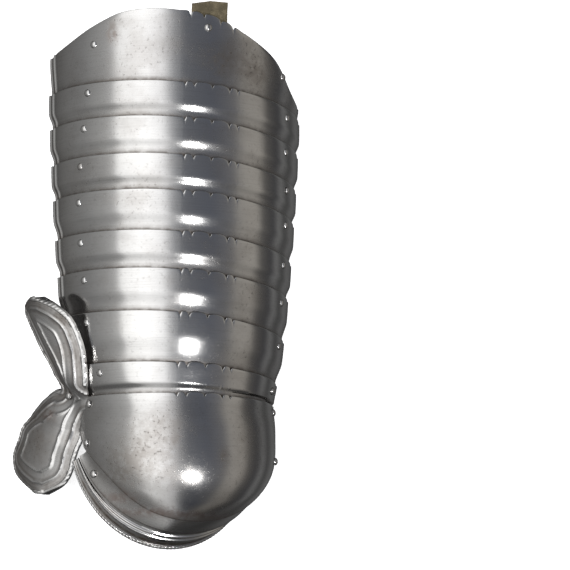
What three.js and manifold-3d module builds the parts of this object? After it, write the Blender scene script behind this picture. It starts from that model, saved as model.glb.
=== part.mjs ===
// An articulated cuisse: a thigh defence of overlapping steel lames that ends in a knee piece with
// a side wing. It is shaped on the leg, with the leg's length along -Y and its front along +Z, and
// then laid on its open back.
import * as THREE from "three";
import { mergeVertices } from "three/addons/utils/BufferGeometryUtils.js";
import { ConvexHull } from "three/addons/math/ConvexHull.js";
import Module from "manifold-3d";

const wasm = await Module();
wasm.setup();

// Plate and clearances, in millimetres
const plateThickness = 1.2;
const nestGap = 1.2; // air between two plates where they overlap
const seatGap = 0.3; // air under a rivet's head and around its shank
const tailGap = 0.6; // air between a rivet's tail and the plate inside it
const lameOverlap = 12.5; // how far a lame lies under the next one
const slideRoom = 3.5; // how far the lames stay level beyond their overlap, so that they can turn
const footSink = 2.4; // how far the last lame's foot stays clear of the knee's bulge
const kneeOverlap = 15;
const kneeEar = 50; // how much further the knee lames reach up at their rivets
const kneeEdgeRise = 22; // how far the knee plate's lower edge rises to its borders

// The leg's form
const thighLength = 299; // from the top crest to the knee plate's upper edge
const kneeLength = 155; // over the knee cap to the roped rim
const thighHalfWidth = 101;
const thighDepth = 95;
const kneeHalfWidth = 79;
const kneeDepth = 83;
const outerBorderAngle = 94; // degrees from the front to the border on the wing's side
const innerBorderAngle = 80;

// Edges
const topFallOuter = 26; // how far the top edge falls from its crest to each border
const topFallInner = 58;
const topCrestAngle = -30;
const edgeFall = 16; // how far a lame's upper edge falls towards the inner border
const cuspRise = 1.2;
const notchDepth = 2.8;
const cuspHalfSpan = 23.6;
const topCuspHalfSpan = 26;
const borderRimHeight = 1.2;
const borderRidgeHeight = 1;
const borderBandWidth = 12.4;
const hemHeight = 1.6; // how far the rolled rims stand proud of the plate
const hemWidth = 4;
const kneeRidgeHeight = 1.3;
const kneeRidgeSpacing = 5;

// Rivets
const rivetHeadRadius = 3.1;
const rivetHeadHeight = 2.2;
const rivetShankRadius = 1.4;
const rivetTailRadius = 2.5;
const rivetTailHeight = 0.9;
const rivetSetback = 7.5; // from a plate's upper edge to its rivets
const slotLength = 5;
const seatReach = 20; // how far above a plate its rivets' lines start
const seatGrip = 8; // the thickest stack that a rivet can hold

// Side wing
const wingReach = 71; // from its tip at the knee back to the lobes' edges
const wingHeight = 169;
const wingRootAlong = 312; // how far down the leg the wing's tip sits
const wingRootAngle = 81; // degrees from the front to the tip
const wingLean = 18; // degrees that the wing's length leans forward of the leg's
const wingFlareFront = 36; // degrees that it stands away from the leg at its front and its back
const wingFlareBack = 8;
const wingOutwardTilt = 6; // degrees that each lobe leans out, away from the pucker
const wingStep = 4; // how far the lobes stand off the lames beside them
const wingStepSpan = 14;
const wingRootUp = 8; // how far the wing is joined to the knee plate above and below its tip
const wingRootDown = 18;
const wingDome = 6;
const wingPucker = 4.5;
const puckerWidth = 16;
const wingRivetDown = 0.485; // shares down the wing and back across it
const wingRivetAcross = 0.64;
const wingRivetLift = 0.5; // how much higher it sits, for the sheet's curve

// Hanging strap
const strapWidth = 29;
const strapLength = 40;
const strapProud = 13; // how far it stands above the top edge
const strapThickness = 2.4;
const strapCenter = -1.5;
const strapRivetAngle = -2;
const strapRivetSetback = 9;
const strapDrop = 1.6; // from the top plate's inside down to the strap
const strapBent = 7.5; // the length of its end that curls out, clear of the top edge
const strapCurl = 7; // degrees
const strapSlant = 0.2; // how its end is cut, rise over run

// Facets
const sideColumns = 5;
const plainColumns = 18;
const kneeRows = 7;
const kneeLameRows = 4;
const rivetSides = 7;
const wingColumns = 6;

// Sections of the thigh, as shares of its length, half width and depth
const thighSections = [
  { along: -0.1, width: 1.012, depth: 1.01 },
  { along: 0.19, width: 1, depth: 1 },
  { along: 0.5, width: 0.955, depth: 0.965 },
  { along: 0.79, width: 0.885, depth: 0.9 },
  { along: 0.92, width: 0.835, depth: 0.855 },
];

// Sections of the knee, which fan out round the back of the joint. down and rise place a section's
// back, lean is in degrees, cut is how many degrees less the plate wraps round, band is the share
// left of the borders' relief and the rest are shares of the knee's sizes
const kneeSections = [
  { along: 0, down: 0, rise: 0, lean: 0, width: 1, depth: 0.95, shift: 0, cut: 0, band: 1 },
  { along: 0.16, down: 0.1, rise: 0.05, lean: 8, width: 1, depth: 0.985, shift: 0, cut: 3, band: 0.4 },
  { along: 0.36, down: 0.19, rise: 0.1, lean: 22, width: 0.995, depth: 1.005, shift: 0, cut: 8, band: 0 },
  { along: 0.54, down: 0.22, rise: 0.13, lean: 37, width: 0.985, depth: 0.99, shift: 0, cut: 10, band: 0 },
  { along: 0.68, down: 0.23, rise: 0.14, lean: 50, width: 0.975, depth: 0.975, shift: -0.02, cut: 11, band: 0 },
  { along: 0.84, down: 0.24, rise: 0.14, lean: 62, width: 0.965, depth: 0.98, shift: -0.08, cut: 11, band: 0 },
  { along: 1, down: 0.26, rise: 0.13, lean: 76, width: 0.955, depth: 1, shift: -0.16, cut: 11, band: 0 },
];

// The upper edges of the lames and of the knee plate: place, fall and the angles of the two rivets
const edges = [
  { along: 0.187, fall: 1, outerRivet: -59, innerRivet: 46 },
  { along: 0.28, fall: 1, outerRivet: -62, innerRivet: 46 },
  { along: 0.378, fall: 1, outerRivet: -65, innerRivet: 49 },
  { along: 0.472, fall: 0.95, outerRivet: -67, innerRivet: 50 },
  { along: 0.578, fall: 0.95, outerRivet: -67, innerRivet: 51 },
  { along: 0.676, fall: 0.95, outerRivet: -66, innerRivet: 53 },
  { along: 0.786, fall: 1, outerRivet: -66, innerRivet: 56 },
  { along: 0.918, fall: 0.65, outerRivet: -60, innerRivet: 58 },
  { along: 1, fall: 0.2, outerRivet: -73, innerRivet: 66 },
];

// The knee plate's lower edge and the first knee lame's, as shares of the knee's length, with their rivets
const kneeEdges = [
  { along: 0.68, ear: 1, outerRivet: -78, outerAlong: 0.37, innerRivet: 64, innerAlong: 0.42 },
  { along: 0.83, ear: 0.55, outerRivet: -68, outerAlong: 0.74, innerRivet: 58, innerAlong: 0.77 },
];

// How far the top plate's upper edge has fallen, as shares of the falls at the borders
const topEdge = [
  { at: -94, fall: 1 },
  { at: -74, fall: 0.79 },
  { at: -54, fall: 0.34 },
  { at: -42, fall: 0.08 },
  { at: -30, fall: 0 },
  { at: -12, fall: 0.03 },
  { at: 0, fall: 0.1 },
  { at: 10, fall: 0.2 },
  { at: 23, fall: 0.36 },
  { at: 36, fall: 0.55 },
  { at: 50, fall: 0.88 },
  { at: 62, fall: 1 },
  { at: 80, fall: 1 },
];

// The top plate's own rivets, placed between its two visible edges
const topRivets = [
  { name: "top_rivet_outer", degrees: -56, share: 0.33 },
  { name: "top_rivet_inner", degrees: 42, share: 0.12 },
];

// Half of the cusped pattern at the front of an edge: places as shares of its half span, heights as
// shares of a cusp's rise (cusp) or of a notch's depth (notch)
const cusps = [
  { across: 0, cusp: 0, notch: 0.85 },
  { across: 0.08, cusp: 0.3, notch: 0 },
  { across: 0.32, cusp: 1, notch: 0 },
  { across: 0.57, cusp: 0, notch: 0.1 },
  { across: 0.63, cusp: 0, notch: 1 },
  { across: 0.7, cusp: 0.5, notch: 0 },
  { across: 0.87, cusp: 0.3, notch: 0 },
  { across: 0.93, cusp: 0, notch: 0.85 },
  { across: 1, cusp: 0, notch: 0 },
];
const topCusps = [
  { across: 0, cusp: 1.3, notch: 0 },
  { across: 0.21, cusp: 0.6, notch: 0 },
  { across: 0.27, cusp: 0, notch: 0.95 },
  { across: 0.34, cusp: 0.2, notch: 0 },
  { across: 0.48, cusp: 1, notch: 0 },
  { across: 0.63, cusp: 0.1, notch: 0 },
  { across: 0.69, cusp: 0, notch: 0.95 },
  { across: 0.76, cusp: 0.4, notch: 0 },
  { across: 1, cusp: 0, notch: 0 },
];

// The embossed border of a lame, from its edge inwards: shares of the band's width, and of the
// rim's and ridge's height
const borderBands = [
  { in: 0, rim: 1, ridge: 0 },
  { in: 0.18, rim: 1, ridge: 0 },
  { in: 0.3, rim: 0, ridge: 0 },
  { in: 0.72, rim: 0, ridge: 0 },
  { in: 0.86, rim: 0, ridge: 1 },
  { in: 1, rim: 0, ridge: 0 },
];

// The wing from the top of its upper lobe to the foot of its lower lobe: where its front and back
// edges lie, back from the tip as shares of its reach and up from the tip as shares of its height
const wingRows = [
  { frontBack: 0.533, frontUp: 0.486, rearBack: 0.718, rearUp: 0.474 },
  { frontBack: 0.312, frontUp: 0.468, rearBack: 0.875, rearUp: 0.434 },
  { frontBack: 0.118, frontUp: 0.432, rearBack: 0.918, rearUp: 0.388 },
  { frontBack: 0.003, frontUp: 0.38, rearBack: 0.842, rearUp: 0.347 },
  { frontBack: -0.092, frontUp: 0.297, rearBack: 0.704, rearUp: 0.292 },
  { frontBack: -0.124, frontUp: 0.218, rearBack: 0.562, rearUp: 0.223 },
  { frontBack: -0.135, frontUp: 0.126, rearBack: 0.425, rearUp: 0.15 },
  { frontBack: -0.078, frontUp: 0.043, rearBack: 0.358, rearUp: 0.062 },
  { frontBack: -0.094, frontUp: 0.002, rearBack: 0.471, rearUp: 0.046 },
  { frontBack: -0.099, frontUp: -0.04, rearBack: 0.676, rearUp: -0.037 },
  { frontBack: -0.067, frontUp: -0.099, rearBack: 0.854, rearUp: -0.131 },
  { frontBack: -0.106, frontUp: -0.163, rearBack: 0.89, rearUp: -0.222 },
  { frontBack: -0.09, frontUp: -0.236, rearBack: 0.942, rearUp: -0.309 },
  { frontBack: -0.081, frontUp: -0.303, rearBack: 0.829, rearUp: -0.376 },
  { frontBack: -0.007, frontUp: -0.366, rearBack: 0.637, rearUp: -0.409 },
  { frontBack: 0.178, frontUp: -0.426, rearBack: 0.37, rearUp: -0.433 },
];

const rad = THREE.MathUtils.degToRad;
const steel = new THREE.MeshStandardMaterial({ color: 0xa3a19e, roughness: 0.28, metalness: 1 });
const rivetSteel = new THREE.MeshStandardMaterial({ color: 0x9a9691, roughness: 0.25, metalness: 1 });
const leather = new THREE.MeshStandardMaterial({ color: 0x4a4230, roughness: 0.8, metalness: 0 });

// A smooth value from one column of a table whose rows are placed by at
function columnAt(rows, key, place) {
  let i = 0;
  while (i < rows.length - 2 && place > rows[i + 1].at) {
    i += 1;
  }
  const from = rows[i];
  const to = rows[i + 1];
  const before = rows[Math.max(i - 1, 0)];
  const after = rows[Math.min(i + 2, rows.length - 1)];
  const span = to.at - from.at;
  const t = (place - from.at) / span;
  const slopeFrom = ((to[key] - before[key]) / (to.at - before.at)) * span;
  const slopeTo = ((after[key] - from[key]) / (after.at - from.at)) * span;
  const bend = from[key] - to[key];
  return from[key] + slopeFrom * t - (3 * bend + 2 * slopeFrom + slopeTo) * t * t
    + (2 * bend + slopeFrom + slopeTo) * t * t * t;
}

const stations = [
  ...thighSections.map((row) => ({
    at: row.along * thighLength,
    down: row.along * thighLength,
    rise: 0,
    lean: 0,
    width: row.width * thighHalfWidth,
    depth: row.depth * thighDepth,
    shift: 0,
    cut: 0,
    band: 1,
  })),
  ...kneeSections.map((row) => ({
    at: thighLength + row.along * kneeLength,
    down: thighLength + row.down * kneeLength,
    rise: row.rise * kneeDepth,
    lean: row.lean,
    width: row.width * kneeHalfWidth,
    depth: row.depth * kneeDepth,
    shift: row.shift * kneeHalfWidth,
    cut: row.cut,
    band: row.band,
  })),
];

function sectionAt(along) {
  const section = {};
  for (const key of ["down", "rise", "lean", "width", "depth", "shift", "cut", "band"]) {
    section[key] = columnAt(stations, key, along);
  }
  return section;
}

function basePoint(along, angle) {
  const here = sectionAt(along);
  const forward = here.depth * Math.cos(angle);
  const lean = rad(here.lean);
  return new THREE.Vector3(
    here.shift + here.width * Math.sin(angle),
    -here.down - forward * Math.sin(lean),
    here.rise + forward * Math.cos(lean),
  );
}

function outwardAt(along, angle) {
  const step = 0.5;
  const turn = 0.005;
  const down = basePoint(along + step, angle).sub(basePoint(along - step, angle));
  const across = basePoint(along, angle + turn).sub(basePoint(along, angle - turn));
  return down.cross(across).normalize();
}

// A point of the leg's surface, or offset out from it
function surfacePoint(along, angle, offset) {
  return basePoint(along, angle).addScaledVector(outwardAt(along, angle), offset);
}

function makeGeometry(points, triangles) {
  const geometry = new THREE.BufferGeometry();
  const numbers = points.flatMap((p) => [p.x, p.y, p.z]);
  geometry.setAttribute("position", new THREE.Float32BufferAttribute(numbers, 3));
  geometry.setIndex(triangles.flat());
  return geometry;
}

// A closed wall between two grids of points, outer and inner, in rows down the leg and columns across it
function wallBetween(outer, inner) {
  const rows = outer.length;
  const columns = outer[0].length;
  const points = [...outer.flat(), ...inner.flat()];
  const triangles = [];
  const out = (j, i) => j * columns + i;
  const into = (j, i) => rows * columns + j * columns + i;
  for (let j = 0; j < rows - 1; j += 1) {
    for (let i = 0; i < columns - 1; i += 1) {
      triangles.push([out(j, i), out(j + 1, i), out(j, i + 1)]);
      triangles.push([out(j, i + 1), out(j + 1, i), out(j + 1, i + 1)]);
      triangles.push([into(j, i), into(j, i + 1), into(j + 1, i)]);
      triangles.push([into(j, i + 1), into(j + 1, i + 1), into(j + 1, i)]);
    }
    const last = columns - 1;
    triangles.push([out(j, 0), into(j, 0), out(j + 1, 0)], [out(j + 1, 0), into(j, 0), into(j + 1, 0)]);
    triangles.push([out(j, last), out(j + 1, last), into(j, last)]);
    triangles.push([out(j + 1, last), into(j + 1, last), into(j, last)]);
  }
  for (let i = 0; i < columns - 1; i += 1) {
    const foot = rows - 1;
    triangles.push([out(0, i), out(0, i + 1), into(0, i)], [out(0, i + 1), into(0, i + 1), into(0, i)]);
    triangles.push([out(foot, i), into(foot, i), out(foot, i + 1)]);
    triangles.push([out(foot, i + 1), into(foot, i), into(foot, i + 1)]);
  }
  return makeGeometry(points, triangles);
}

function toSolid(geometry) {
  const bare = geometry.clone();
  bare.deleteAttribute("normal");
  bare.deleteAttribute("uv");
  const merged = mergeVertices(bare, 1e-4);
  const index = merged.index.array;
  const kept = [];
  for (let k = 0; k < index.length; k += 3) {
    const [a, b, c] = [index[k], index[k + 1], index[k + 2]];
    if (a !== b && b !== c && c !== a) {
      kept.push(a, b, c);
    }
  }
  const vertProperties = new Float32Array(merged.attributes.position.array);
  return new wasm.Manifold(new wasm.Mesh({ numProp: 3, vertProperties, triVerts: new Uint32Array(kept) }));
}

function toGeometry(solid) {
  const mesh = solid.getMesh();
  const geometry = new THREE.BufferGeometry();
  geometry.setAttribute("position", new THREE.BufferAttribute(new Float32Array(mesh.vertProperties), 3));
  geometry.setIndex(new THREE.BufferAttribute(new Uint32Array(mesh.triVerts), 1));
  geometry.computeVertexNormals();
  return geometry;
}

// The columns of a plain plate at one place along the leg
function evenColumns(along) {
  const here = sectionAt(along);
  const outerBorder = -rad(outerBorderAngle - here.cut);
  const innerBorder = rad(innerBorderAngle - here.cut);
  return Array.from({ length: plainColumns + 1 }, (_, i) => ({
    angle: THREE.MathUtils.lerp(outerBorder, innerBorder, i / plainColumns),
    emboss: 0,
    rise: 0,
  }));
}

// The columns of a lame at one place along the leg: embossed borders, plain sides and the cusped front
function plateColumns(along, pattern, halfSpan) {
  const here = sectionAt(along);
  const bandAngle = borderBandWidth / here.depth;
  const columns = [];
  const add = (angle, emboss, rise) => columns.push({ angle, emboss, rise });
  const emboss = (band) => (band.rim * borderRimHeight + band.ridge * borderRidgeHeight) * here.band;
  const outerBorder = -rad(outerBorderAngle - here.cut);
  const innerBorder = rad(innerBorderAngle - here.cut);
  for (const band of borderBands) {
    add(outerBorder + band.in * bandAngle, emboss(band), 0);
  }
  const frontAngle = halfSpan / here.width;
  const outerStart = outerBorder + bandAngle;
  const innerEnd = innerBorder - bandAngle;
  for (let i = 1; i < sideColumns; i += 1) {
    add(THREE.MathUtils.lerp(outerStart, -frontAngle, i / sideColumns), 0, 0);
  }
  const height = (row) => row.cusp * cuspRise - row.notch * notchDepth;
  for (const row of [...pattern].reverse()) {
    add(-row.across * frontAngle, 0, height(row));
  }
  for (const row of pattern.slice(1)) {
    add(row.across * frontAngle, 0, height(row));
  }
  for (let i = 1; i < sideColumns; i += 1) {
    add(THREE.MathUtils.lerp(frontAngle, innerEnd, i / sideColumns), 0, 0);
  }
  for (const band of [...borderBands].reverse()) {
    add(innerBorder - band.in * bandAngle, emboss(band), 0);
  }
  return columns;
}

function edgeAlong(edge, angle) {
  const share = (1 + Math.sin(angle)) / 2;
  return edge.along * thighLength + edge.fall * edgeFall * share * share;
}

function topAlong(angle) {
  const share = columnAt(topEdge, "fall", THREE.MathUtils.radToDeg(angle));
  return share * (angle < rad(topCrestAngle) ? topFallOuter : topFallInner);
}

const kneeAlong = (share) => () => thighLength + share * kneeLength;
const underEdge = (edge) => (angle) =>
  kneeAlong(edge.along)() - kneeOverlap - edge.ear * kneeEar * Math.sin(angle) ** 4;
const nestOffset = (plateThickness + nestGap) / 2;
const lastOffset = -3 * nestOffset;

// A plate of the leg's surface, from its rows down the leg. A row has its place along the leg for
// each angle, its outer face's offset from the leg's surface, how far its front is sunk, and, for a
// rolled rim, its extra thickness
function plateSolid(rows, pattern = cusps, halfSpan = cuspHalfSpan) {
  const plain = !rows[0].cusped;
  const outer = [];
  const inner = [];
  for (const row of rows) {
    const thicken = row.thicken ?? 0;
    const front = row.cusped ? [pattern, halfSpan] : [cusps, cuspHalfSpan];
    const columns = plain ? evenColumns(row.along(0)) : plateColumns(row.along(0), ...front);
    const places = columns.map((column) => {
      const along = row.along(column.angle) - (row.cusped ? column.rise : 0);
      const sink = (row.sink ?? 0) * Math.cos(column.angle) ** 2;
      return { along, angle: column.angle, offset: row.offset + column.emboss - sink };
    });
    outer.push(places.map((place) => surfacePoint(place.along, place.angle, place.offset)));
    const depth = plateThickness + thicken;
    inner.push(places.map((place) => surfacePoint(place.along, place.angle, place.offset - depth)));
  }
  return toSolid(wallBetween(outer, inner));
}

const shiftedBy = (edge, distance) => (angle) => edge(angle) + distance;

// Evenly spaced rows from one edge to another, the first left out
function rowsBetween(from, to, count, offset) {
  return Array.from({ length: count }, (_, k) => ({
    along: (angle) => THREE.MathUtils.lerp(from(angle), to(angle), (k + 1) / count),
    offset,
  }));
}

// A wing point from shares down its rows and across them, offset out from its sheet
function wingSheetPoint(down, across) {
  const placed = wingRows.map((row, at) => ({ ...row, at }));
  const place = (key) => columnAt(placed, key, down * (wingRows.length - 1));
  const back = THREE.MathUtils.lerp(place("frontBack"), place("rearBack"), across) * wingReach;
  const up = THREE.MathUtils.lerp(place("frontUp"), place("rearUp"), across) * wingHeight;
  const flareFront = rad(wingFlareFront);
  const bend = (rad(wingFlareBack) - flareFront) / wingReach;
  const steps = 12;
  let outward = 0;
  let rearward = 0;
  for (let i = 0; i < steps; i += 1) {
    const flare = flareFront + bend * back * ((i + 0.5) / steps);
    outward += (Math.sin(flare) * back) / steps;
    rearward += (Math.cos(flare) * back) / steps;
  }
  const lean = rad(wingLean);
  const tip = surfacePoint(wingRootAlong, -rad(wingRootAngle), nestOffset + borderRimHeight);
  const free = Math.max(up - wingRootUp, -wingRootDown - up, 0);
  const step = wingStep * THREE.MathUtils.smoothstep(free, 0, wingStepSpan);
  const point = new THREE.Vector3(
    tip.x - outward - step - free * Math.tan(rad(wingOutwardTilt)),
    tip.y + up * Math.cos(lean) + rearward * Math.sin(lean),
    tip.z + up * Math.sin(lean) - rearward * Math.cos(lean),
  );
  const notchUp = 0.1 * wingHeight * THREE.MathUtils.clamp(back / (0.47 * wingReach), 0, 1);
  const fromPucker = (up - notchUp) / puckerWidth;
  const lobe = 1 - (2 * across - 1) ** 2;
  const dome = wingDome * lobe * (1 - Math.exp(-fromPucker * fromPucker));
  const growth = THREE.MathUtils.clamp(back / (0.4 * wingReach), 0, 1);
  const pucker = wingPucker * Math.exp(-fromPucker * fromPucker) * growth;
  return { point, raise: dome - pucker };
}

function wingPoint(down, across, offset) {
  const step = 0.01;
  const here = wingSheetPoint(down, across);
  const along = wingSheetPoint(Math.min(down + step, 1), across).point;
  along.sub(wingSheetPoint(Math.max(down - step, 0), across).point);
  const over = wingSheetPoint(down, Math.min(across + step, 1)).point;
  over.sub(wingSheetPoint(down, Math.max(across - step, 0)).point);
  const outward = over.cross(along).normalize();
  return here.point.addScaledVector(outward, here.raise + offset);
}

const wingJoinedRows = [6, 9]; // between these rows the front edge runs into the knee plate

function wingSolid() {
  const rows = wingRows.length;
  const outer = [];
  const inner = [];
  for (let j = 0; j < rows; j += 1) {
    const outerRow = [];
    const innerRow = [];
    for (let i = 0; i <= wingColumns; i += 1) {
      const down = j / (rows - 1);
      const across = i / wingColumns;
      const joined = i === 0 && j >= wingJoinedRows[0] && j <= wingJoinedRows[1];
      const onRim = j === 0 || j === rows - 1 || i === 0 || i === wingColumns;
      const thicken = onRim && !joined ? hemHeight : 0;
      outerRow.push(wingPoint(down, across, thicken / 2));
      innerRow.push(wingPoint(down, across, -plateThickness - thicken / 2));
    }
    outer.push(outerRow.reverse());
    inner.push(innerRow.reverse());
  }
  return toSolid(wallBetween(outer, inner));
}

function rivetGeometry(stack) {
  const tail = -stack - tailGap;
  const outline = [
    [0, tail - rivetTailHeight],
    [rivetTailRadius, tail],
    [rivetShankRadius, tail],
    [rivetShankRadius, seatGap],
    [rivetHeadRadius, seatGap],
    [rivetHeadRadius * 0.82, seatGap + rivetHeadHeight * 0.6],
    [0, seatGap + rivetHeadHeight],
  ];
  const profile = outline.map(([radius, height]) => new THREE.Vector2(radius, height));
  return toGeometry(toSolid(new THREE.LatheGeometry(profile, rivetSides)));
}

// A round or slotted hole through the plates at a rivet, as a solid to cut with
function holeSolid(seat, length) {
  const height = 24;
  const radius = rivetShankRadius + seatGap;
  const drill = toSolid(new THREE.CylinderGeometry(radius, radius, height, rivetSides));
  let cut = drill;
  if (length > 0) {
    const slot = new THREE.BoxGeometry(length, height, radius * 2).translate(length / 2, 0, 0);
    cut = drill.add(toSolid(slot));
  }
  const matrix = new THREE.Matrix4().compose(seat.point, seat.turn, new THREE.Vector3(1, 1, 1));
  return cut.transform(matrix.toArray());
}

// Where a line meets a plate on its way in, as far as a rivet can reach
function facesOnLine(geometry, from, inward) {
  const mesh = new THREE.Mesh(geometry, new THREE.MeshBasicMaterial({ side: THREE.DoubleSide }));
  return new THREE.Raycaster(from, inward, 0, seatReach + seatGrip).intersectObject(mesh);
}

// A rivet's seat, square to the outer plate's face where a line from a start point meets it, turned
// so that its slot runs round the leg, and how thick the plates are under it
function rivetSeat(outerPlate, innerPlate, start, inward, round) {
  const [first] = facesOnLine(outerPlate, start, inward);
  const outward = first.face.normal.clone();
  const down = new THREE.Vector3().crossVectors(round, outward).normalize();
  const across = new THREE.Vector3().crossVectors(outward, down);
  const basis = new THREE.Matrix4().makeBasis(across, outward, down);
  const turn = new THREE.Quaternion().setFromRotationMatrix(basis);
  const back = outward.clone().negate();
  const last = facesOnLine(innerPlate, first.point.clone().addScaledVector(outward, seatReach), back).pop();
  return { point: first.point, turn, stack: last.distance - seatReach };
}

function legSeat(outerPlate, innerPlate, along, degrees) {
  const angle = rad(degrees);
  const round = basePoint(along, angle + 0.01).sub(basePoint(along, angle - 0.01)).normalize();
  const start = surfacePoint(along, angle, seatReach / 2);
  return rivetSeat(outerPlate, innerPlate, start, outwardAt(along, angle).negate(), round);
}

const leg = new THREE.Group();
function addMesh(name, geometry, material) {
  const mesh = new THREE.Mesh(geometry, material);
  mesh.name = name;
  leg.add(mesh);
  return mesh;
}

function addRivet(name, seat) {
  const mesh = addMesh(name, rivetGeometry(seat.stack), rivetSteel);
  mesh.position.copy(seat.point);
  mesh.quaternion.copy(seat.turn);
}

// The plates in order down the leg, before their holes are cut
const lameEdges = edges.map((edge) => (angle) => edgeAlong(edge, angle));
const topFoot = shiftedBy(lameEdges[0], lameOverlap);
const plates = [
  {
    name: "thigh_top_plate",
    solid: plateSolid([
      { along: topAlong, offset: 0, cusped: true },
      ...rowsBetween(topAlong, lameEdges[0], 2, -nestOffset),
      { along: topFoot, offset: -nestOffset },
    ], topCusps, topCuspHalfSpan),
  },
];
for (let k = 0; k < edges.length - 1; k += 1) {
  const sink = k === edges.length - 2 ? footSink : 0;
  plates.push({
    name: `thigh_lame_${k + 1}`,
    solid: plateSolid([
      { along: lameEdges[k], offset: nestOffset, cusped: true },
      { along: shiftedBy(lameEdges[k], lameOverlap + slideRoom), offset: nestOffset },
      { along: shiftedBy(lameEdges[k + 1], -slideRoom), offset: -nestOffset, sink: sink / 4 },
      { along: shiftedBy(lameEdges[k + 1], lameOverlap), offset: -nestOffset, sink },
    ]),
  });
}
const kneeTop = lameEdges[edges.length - 1];
const [kneeFoot, lameFoot] = kneeEdges.map((edge) => kneeAlong(edge.along));
const kneeHem = (angle) => kneeFoot() - kneeEdgeRise * Math.sin(angle) ** 4;
plates.push({
  name: "knee_plate",
  solid: plateSolid([
    { along: kneeTop, offset: nestOffset, cusped: true },
    ...rowsBetween(kneeTop, kneeHem, kneeRows, nestOffset),
  ]).add(wingSolid()),
});
const [lameTop, lastTop] = kneeEdges.map(underEdge);
plates.push({
  name: "knee_lame_1",
  solid: plateSolid([
    { along: lameTop, offset: -nestOffset },
    ...rowsBetween(lameTop, lameFoot, kneeLameRows, -nestOffset),
  ]),
});
const lastHem = shiftedBy(kneeAlong(1), -hemWidth);
const ridges = [3, 2].map((k) => shiftedBy(lastHem, -k * kneeRidgeSpacing));
plates.push({
  name: "knee_lame_2",
  solid: plateSolid([
    { along: lastTop, offset: lastOffset },
    ...rowsBetween(lastTop, shiftedBy(ridges[0], -kneeRidgeSpacing / 2), kneeLameRows - 2, lastOffset),
    { along: ridges[0], offset: lastOffset + kneeRidgeHeight },
    { along: shiftedBy(ridges[0], kneeRidgeSpacing / 2), offset: lastOffset },
    { along: ridges[1], offset: lastOffset + kneeRidgeHeight },
    { along: shiftedBy(ridges[1], kneeRidgeSpacing / 2), offset: lastOffset },
    { along: lastHem, offset: lastOffset },
    { along: shiftedBy(lastHem, hemWidth / 4), offset: lastOffset + hemHeight, thicken: hemHeight },
    { along: kneeAlong(1), offset: lastOffset + hemHeight / 2, thicken: hemHeight / 2 },
  ]),
});

// The rivets, each cut through the plates that it joins
const faces = plates.map((plate) => toGeometry(plate.solid));
const kneeIndex = edges.length;
function joinPlates(name, over, under, along, degrees, slot) {
  const seat = legSeat(faces[over], faces[under], along, degrees);
  plates[over].solid = plates[over].solid.subtract(holeSolid(seat, 0));
  if (under !== over) {
    plates[under].solid = plates[under].solid.subtract(holeSolid(seat, slot));
  }
  addRivet(name, seat);
}
edges.forEach((edge, k) => {
  const outerAlong = edgeAlong(edge, rad(edge.outerRivet)) + rivetSetback;
  const innerAlong = edgeAlong(edge, rad(edge.innerRivet)) + rivetSetback;
  joinPlates(`rivet_${k + 1}_outer`, k + 1, k, outerAlong, edge.outerRivet, slotLength);
  joinPlates(`rivet_${k + 1}_inner`, k + 1, k, innerAlong, edge.innerRivet, 0);
});
kneeEdges.forEach((edge, k) => {
  const outerPlace = kneeAlong(edge.outerAlong)();
  const innerPlace = kneeAlong(edge.innerAlong)();
  joinPlates(`knee_rivet_${k + 1}_outer`, kneeIndex + k, kneeIndex + k + 1, outerPlace, edge.outerRivet, 0);
  joinPlates(`knee_rivet_${k + 1}_inner`, kneeIndex + k, kneeIndex + k + 1, innerPlace, edge.innerRivet, 0);
});
for (const row of topRivets) {
  const angle = rad(row.degrees);
  const along = THREE.MathUtils.lerp(topAlong(angle), edgeAlong(edges[0], angle), row.share);
  joinPlates(row.name, 0, 0, along, row.degrees, 0);
}

// The hanging strap lies flat under the top plate's upper edge
const strapAngle = strapCenter / thighHalfWidth;
const strapTop = topAlong(strapAngle) - strapProud;
const strapRise = strapBent * Math.tan(rad(strapCurl));
const strapProfile = new THREE.Shape([
  new THREE.Vector2(-strapLength, 0),
  new THREE.Vector2(-strapBent, 0),
  new THREE.Vector2(0, strapRise),
  new THREE.Vector2(0, strapRise - strapThickness),
  new THREE.Vector2(-strapBent, -strapThickness),
  new THREE.Vector2(-strapLength, -strapThickness),
]);
const strapBody = new THREE.ExtrudeGeometry(strapProfile, { depth: strapWidth, bevelEnabled: false });
strapBody.translate(0, 0, -strapWidth / 2);
strapBody.applyMatrix4(new THREE.Matrix4().makeBasis(
  new THREE.Vector3(0, 1, 0),
  new THREE.Vector3(0, 0, 1),
  new THREE.Vector3(1, 0, 0),
));
const strapFace = surfacePoint(topAlong(strapAngle), strapAngle, -plateThickness - strapDrop);
const strapFoot = surfacePoint(strapTop + strapLength, strapAngle, -plateThickness - strapDrop - nestOffset);
const strapLine = strapFoot.sub(strapFace);
const strapPlace = new THREE.Matrix4().makeRotationX(Math.atan2(-strapLine.z, -strapLine.y));
strapPlace.setPosition(strapFace.addScaledVector(strapLine.normalize(), -strapProud));
const strapCut = new THREE.Vector3(strapSlant, -1, 0).normalize();
const strapSolid = toSolid(strapBody).trimByPlane(strapCut.toArray(), 0).transform(strapPlace.toArray());
const strapRivetAlong = topAlong(strapAngle) + strapRivetSetback;
const strapSeat = legSeat(faces[0], toGeometry(strapSolid), strapRivetAlong, strapRivetAngle);
plates[0].solid = plates[0].solid.subtract(holeSolid(strapSeat, 0));
addRivet("strap_rivet", strapSeat);
addMesh("hanging_strap", toGeometry(strapSolid.subtract(holeSolid(strapSeat, 0))), leather);

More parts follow.
